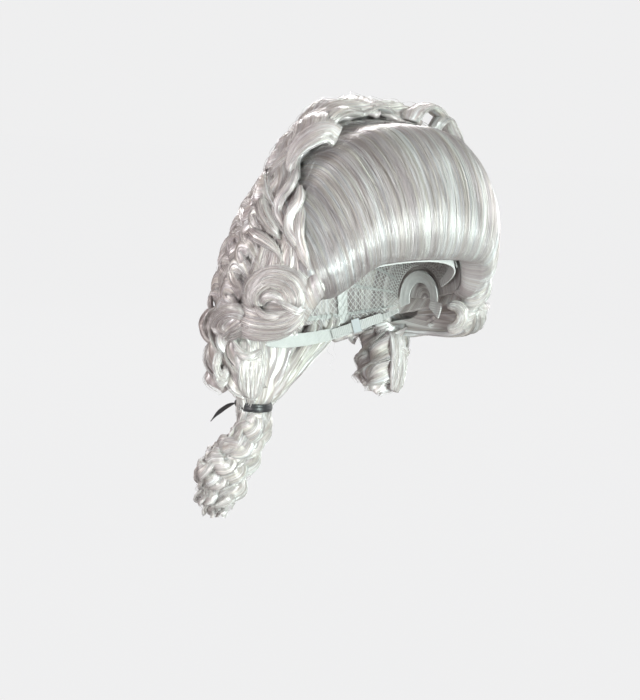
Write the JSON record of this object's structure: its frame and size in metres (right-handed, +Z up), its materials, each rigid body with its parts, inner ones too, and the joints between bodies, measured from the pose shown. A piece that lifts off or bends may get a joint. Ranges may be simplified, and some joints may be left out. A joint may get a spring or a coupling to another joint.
{
  "type": "costume wig",
  "caption": "Eighteenth-century style costume wig with a smooth front pouf, side rolls, ringlets and a ribbon-tied queue on a stretch cap.",
  "frame": {"origin": "centre of the head opening, at the height of the tops of the ears", "axes": "+Z up, -Y towards the face, +X towards the wearer's left ear"},
  "size_m": [0.222, 0.2866, 0.3698],
  "materials": {
    "hair_smooth": "silky straight synthetic fibre, silver white",
    "hair_curled": "frizzy curled synthetic fibre, silver white",
    "elastic_band": "knitted elastic",
    "ear_tab_felt": "stitched felt",
    "stretch_net": "open hexagonal net",
    "cap_tape": "woven tape",
    "weft_stitching": "machine sewn weft track",
    "label_satin": "satin, blank",
    "clear_plastic": "moulded nylon",
    "black_ribbon": "satin ribbon"
  },
  "bodies": {
    "root": {"front_band": "elastic_band", "nape_band": "elastic_band", "side_band_left": "elastic_band", "side_band_right": "elastic_band", "ear_tab_left": "ear_tab_felt", "ear_tab_right": "ear_tab_felt", "crown_net": "stretch_net", "centre_tape": "cap_tape", "side_tape_left": "cap_tape", "side_tape_right": "cap_tape", "weft_front": "weft_stitching", "weft_toupee_mid": "weft_stitching", "weft_toupee_back": "weft_stitching", "weft_crown_line": "weft_stitching", "weft_crown": "weft_stitching", "weft_back_upper": "weft_stitching", "weft_back_middle": "weft_stitching", "weft_back_lower": "weft_stitching", "weft_nape": "weft_stitching", "care_label": "label_satin", "adjuster_strap_left": "elastic_band", "adjuster_strap_right": "elastic_band", "front_toupee_left": "hair_smooth", "front_toupee_centre": "hair_smooth", "front_toupee_right": "hair_smooth", "crown_curls": "hair_curled", "back_curls_upper": "hair_curled", "back_curls_lower": "hair_curled", "nape_hair": "hair_curled", "side_hair_left": "hair_curled", "side_hair_right": "hair_curled", "ear_roll_left": "hair_curled", "ear_roll_right": "hair_curled"},
    "queue": {"queue_root": "hair_curled", "ribbon_band": "black_ribbon", "ribbon_knot": "black_ribbon"},
    "tail": {"queue_tail": "hair_curled"},
    "ribbon_left": {"ribbon_end_left": "black_ribbon"},
    "ribbon_right": {"ribbon_end_right": "black_ribbon"},
    "temple_left": {"temple_ringlet_left": "hair_curled"},
    "temple_right": {"temple_ringlet_right": "hair_curled"},
    "nape_left": {"nape_ringlets_left": "hair_curled"},
    "nape_right": {"nape_ringlets_right": "hair_curled"},
    "slide_left": {"adjuster_slide_left": "clear_plastic"},
    "slide_right": {"adjuster_slide_right": "clear_plastic"}
  },
  "joints": [
    {"name": "queue_swing", "type": "hinge", "parent": "root", "child": "queue", "pos_m": [0, 0.105, -0.056], "axis": [1, 0, 0], "range_deg": [0, 50]},
    {"name": "tail_sway", "type": "hinge", "parent": "queue", "child": "tail", "pos_m": [-0.006, 0.112, -0.122], "axis": [0, 1, 0], "range_deg": [-25, 25]},
    {"name": "ribbon_end_left_swing", "type": "hinge", "parent": "queue", "child": "ribbon_left", "pos_m": [-0.0104, 0.1293, -0.1065], "axis": [1, 0, 0], "range_deg": [-15, 30], "stiffness_Nm_per_rad": 0.0006},
    {"name": "ribbon_end_right_swing", "type": "hinge", "parent": "queue", "child": "ribbon_right", "pos_m": [-0.0104, 0.1293, -0.1065], "axis": [1, 0, 0], "range_deg": [-15, 30], "stiffness_Nm_per_rad": 0.0006},
    {"name": "temple_ringlet_left_swing", "type": "hinge", "parent": "root", "child": "temple_left", "pos_m": [0.091, -0.048, 0.002], "axis": [0, -1, 0], "range_deg": [-10, 20]},
    {"name": "temple_ringlet_right_swing", "type": "hinge", "parent": "root", "child": "temple_right", "pos_m": [-0.091, -0.048, 0.002], "axis": [0, 1, 0], "range_deg": [-10, 20]},
    {"name": "nape_ringlets_left_swing", "type": "hinge", "parent": "root", "child": "nape_left", "pos_m": [0.08, 0.062, -0.056], "axis": [-0.2013, -0.9662, 0.161], "range_deg": [-8, 25]},
    {"name": "nape_ringlets_right_swing", "type": "hinge", "parent": "root", "child": "nape_right", "pos_m": [-0.08, 0.062, -0.056], "axis": [-0.2013, 0.9662, -0.161], "range_deg": [-8, 25]},
    {"name": "adjuster_left_slide", "type": "slide", "parent": "root", "child": "slide_left", "axis": [0.5757, -0.7151, 0.3964], "range_m": [-0.012, 0.012]},
    {"name": "adjuster_right_slide", "type": "slide", "parent": "root", "child": "slide_right", "axis": [-0.5757, -0.7151, 0.3964], "range_m": [-0.012, 0.012]}
  ]
}
